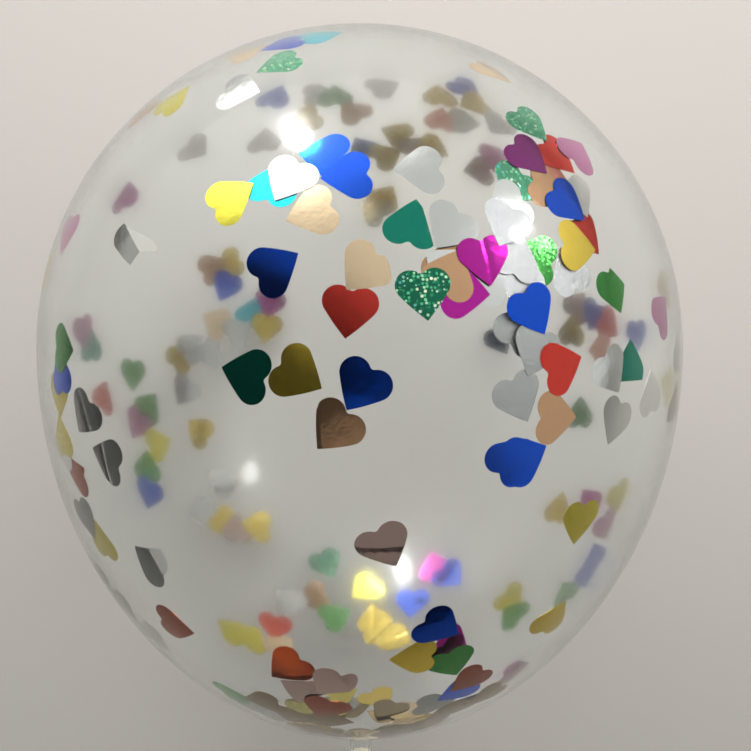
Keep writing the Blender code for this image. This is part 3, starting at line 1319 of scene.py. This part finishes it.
# The sky's bright areas: the way to each, how far along it the area begins and is full, its strength and its
# colour. Everywhere else each of them adds only the dim strength.
SKY_DIM = 0.004
SKY_LIGHTS = (
    ((-0.26, 0.92, 0.30), 0.74, 0.93, 1.15, (1.0, 0.98, 0.95)),
    ((0.85, 1.00, 0.00), -0.36, 0.42, 0.62, (1.0, 0.99, 0.97)),
    ((-0.85, 0.50, 0.10), 0.72, 0.95, 0.35, (1.0, 0.97, 0.92)),
    ((0.05, -0.75, 0.66), 0.86, 0.92, 0.25, (1.0, 0.96, 0.90)),
    ((-0.45, -0.89, 0.00), 0.93, 0.98, 1.00, (1.0, 0.96, 0.90)),
    ((0.68, -0.72, 0.12), 0.955, 0.985, 0.90, (1.0, 0.96, 0.90)),
)


def make_floor(setup):
    mesh = bmesh.new()
    bmesh.ops.create_grid(mesh, x_segments=2, y_segments=2, size=FLOOR_SIZE)
    data = bpy.data.meshes.new("floor")
    mesh.to_mesh(data)
    mesh.free()
    data.materials.append(floor_material(tuple(setup.floor_colour)))
    floor = bpy.data.objects.new("floor", data)
    bpy.context.scene.collection.objects.link(floor)


def make_sky():
    """A dim room with a few soft bright areas."""
    world = bpy.data.worlds.new("soft_room")
    bpy.context.scene.world = world
    shading = Shading(world)
    place = shading.place("Generated")
    sky = None
    for way, start, end, strength, colour in SKY_LIGHTS:
        inputs = {"Color": colour, "Strength": shading.along(place, way, start, end, SKY_DIM, strength)}
        light = shading.node("ShaderNodeBackground", inputs=inputs)
        sky = shading.node("ShaderNodeAddShader", inputs={0: sky, 1: light}) if sky else light
    shading.node("ShaderNodeOutputWorld", inputs={"Surface": sky})


def make_lamp(name, place, size, power, colour):
    """Hangs a soft lamp at a place beside the axis, facing the balloon."""
    light = bpy.data.lights.new(name, "AREA")
    light.shape = "ELLIPSE"
    light.size, light.size_y = size
    light.energy = power
    light.color = colour
    lamp = bpy.data.objects.new(name, light)
    bpy.context.scene.collection.objects.link(lamp)
    laid = lie_down()
    lamp.location = laid @ Vector(place)
    towards = lamp.location - laid.translation
    lamp.rotation_euler = towards.to_track_quat("Z", "Y").to_euler()
    lamp.visible_camera = False
    return lamp


def make_lamps(setup):
    """Two lamps that show in the skin and foils, and one that only lights the floor."""
    ceiling = make_lamp("ceiling_lamp", *CEILING_LAMP, setup.ceiling_power, setup.lamp_colour)
    side = make_lamp("side_lamp", *SIDE_LAMP, setup.side_power, setup.lamp_colour)
    fill = make_lamp("fill_lamp", *FILL_LAMP, setup.fill_power, setup.lamp_colour)
    ceiling.visible_diffuse = False
    side.visible_diffuse = False
    fill.visible_glossy = False
    fill.visible_transmission = False


def make_camera(setup):
    scene = bpy.context.scene
    data = bpy.data.cameras.new("camera")
    data.lens = setup.lens
    data.sensor_width = SENSOR_WIDTH
    data.clip_start = NEAR_CLIP
    camera = bpy.data.objects.new("camera", data)
    scene.collection.objects.link(camera)
    place = (setup.camera_across, setup.camera_along, setup.camera_distance)
    camera.matrix_world = lie_down() @ Matrix.Translation(place)
    scene.camera = camera
    scene.view_settings.view_transform = "Standard"


# Operators


class OBJECT_OT_balloon_skin(bpy.types.Operator):
    """Make the clear skin"""

    bl_idname = "object.balloon_skin"
    bl_label = "Skin"

    def execute(self, context):
        sizes = body_sizes()
        mesh = bmesh.new()
        add_skin_wall(mesh, sizes.inset, facing_in=False)
        add_skin_wall(mesh, sizes.inset + sizes.wall, facing_in=True)
        skin = new_piece("skin", mesh, latex_material())
        # The outer wall's points come first, then as many of the inner wall's.
        outer = len(skin.data.vertices) // 2
        for index, vertex in enumerate(skin.data.vertices):
            vertex.co.z = max(vertex.co.z, 0.0 if index < outer else sizes.wall)
        skin.visible_shadow = False
        skin.visible_diffuse = False
        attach(skin, "root")
        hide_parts("balloon")
        return {"FINISHED"}


class OBJECT_OT_balloon_knot(bpy.types.Operator):
    """Make the knot and the tail"""

    bl_idname = "object.balloon_knot"
    bl_label = "Knot and tail"

    def execute(self, context):
        mesh = bmesh.new()
        add_tail(mesh)
        add_strand(mesh, knot_winding, WINDING_STEPS)
        add_strand(mesh, knot_bridge, BRIDGE_STEPS)
        bmesh.ops.recalc_face_normals(mesh, faces=mesh.faces)
        knot = new_piece("knot_and_tail", mesh, gathered_latex_material())
        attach(knot, "root")
        return {"FINISHED"}


class OBJECT_OT_balloon_hearts(bpy.types.Operator):
    """Make the confetti hearts, one piece for each foil"""

    bl_idname = "object.balloon_hearts"
    bl_label = "Hearts"

    def execute(self, context):
        hearts = placed_hearts()
        unknown = {foil for foil, _ in hearts} - set(FOILS)
        if unknown:
            raise ValueError(f"Hearts of unknown foils: {sorted(unknown)}")
        for foil in FOILS:
            film = FoilMesh()
            for name, heart in hearts:
                if name == foil:
                    film.add_heart(heart)
            piece = new_piece(f"hearts_{foil}", film.mesh, foil_material(foil))
            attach(piece, "root")
        return {"FINISHED"}


class SCENE_OT_balloon_studio(bpy.types.Operator):
    """Make the floor, the lamps, the sky and the camera"""

    bl_idname = "scene.balloon_studio"
    bl_label = "Studio"

    def execute(self, context):
        setup = context.scene.studio_setup
        make_floor(setup)
        make_sky()
        make_lamps(setup)
        make_camera(setup)
        return {"FINISHED"}


class VIEW3D_PT_balloon(bpy.types.Panel):
    """Sidebar panel with the balloon's pieces"""

    bl_label = "Confetti Balloon"
    bl_idname = "VIEW3D_PT_balloon"
    bl_space_type = "VIEW_3D"
    bl_region_type = "UI"
    bl_category = "Balloon"

    def draw(self, context):
        for operator in OPERATORS:
            self.layout.operator(operator.bl_idname)


GROUPS = {
    "balloon_shape": BalloonShape,
    "neck_shape": NeckShape,
    "heart_shape": HeartShape,
    "foil_colours": FoilColours,
    "studio_setup": StudioSetup,
}
OPERATORS = (
    OBJECT_OT_balloon_skin,
    OBJECT_OT_balloon_knot,
    OBJECT_OT_balloon_hearts,
    SCENE_OT_balloon_studio,
)


def register():
    for kind in (*GROUPS.values(), *OPERATORS, VIEW3D_PT_balloon):
        bpy.utils.register_class(kind)
    for name, group in GROUPS.items():
        setattr(bpy.types.Scene, name, PointerProperty(type=group))


def unregister():
    for name in GROUPS:
        delattr(bpy.types.Scene, name)
    for kind in (VIEW3D_PT_balloon, *reversed(OPERATORS), *reversed(GROUPS.values())):
        bpy.utils.unregister_class(kind)


def main():
    register()
    bpy.ops.object.balloon_skin()
    bpy.ops.object.balloon_knot()
    bpy.ops.object.balloon_hearts()
    bpy.ops.scene.balloon_studio()


if __name__ == "__main__":
    main()
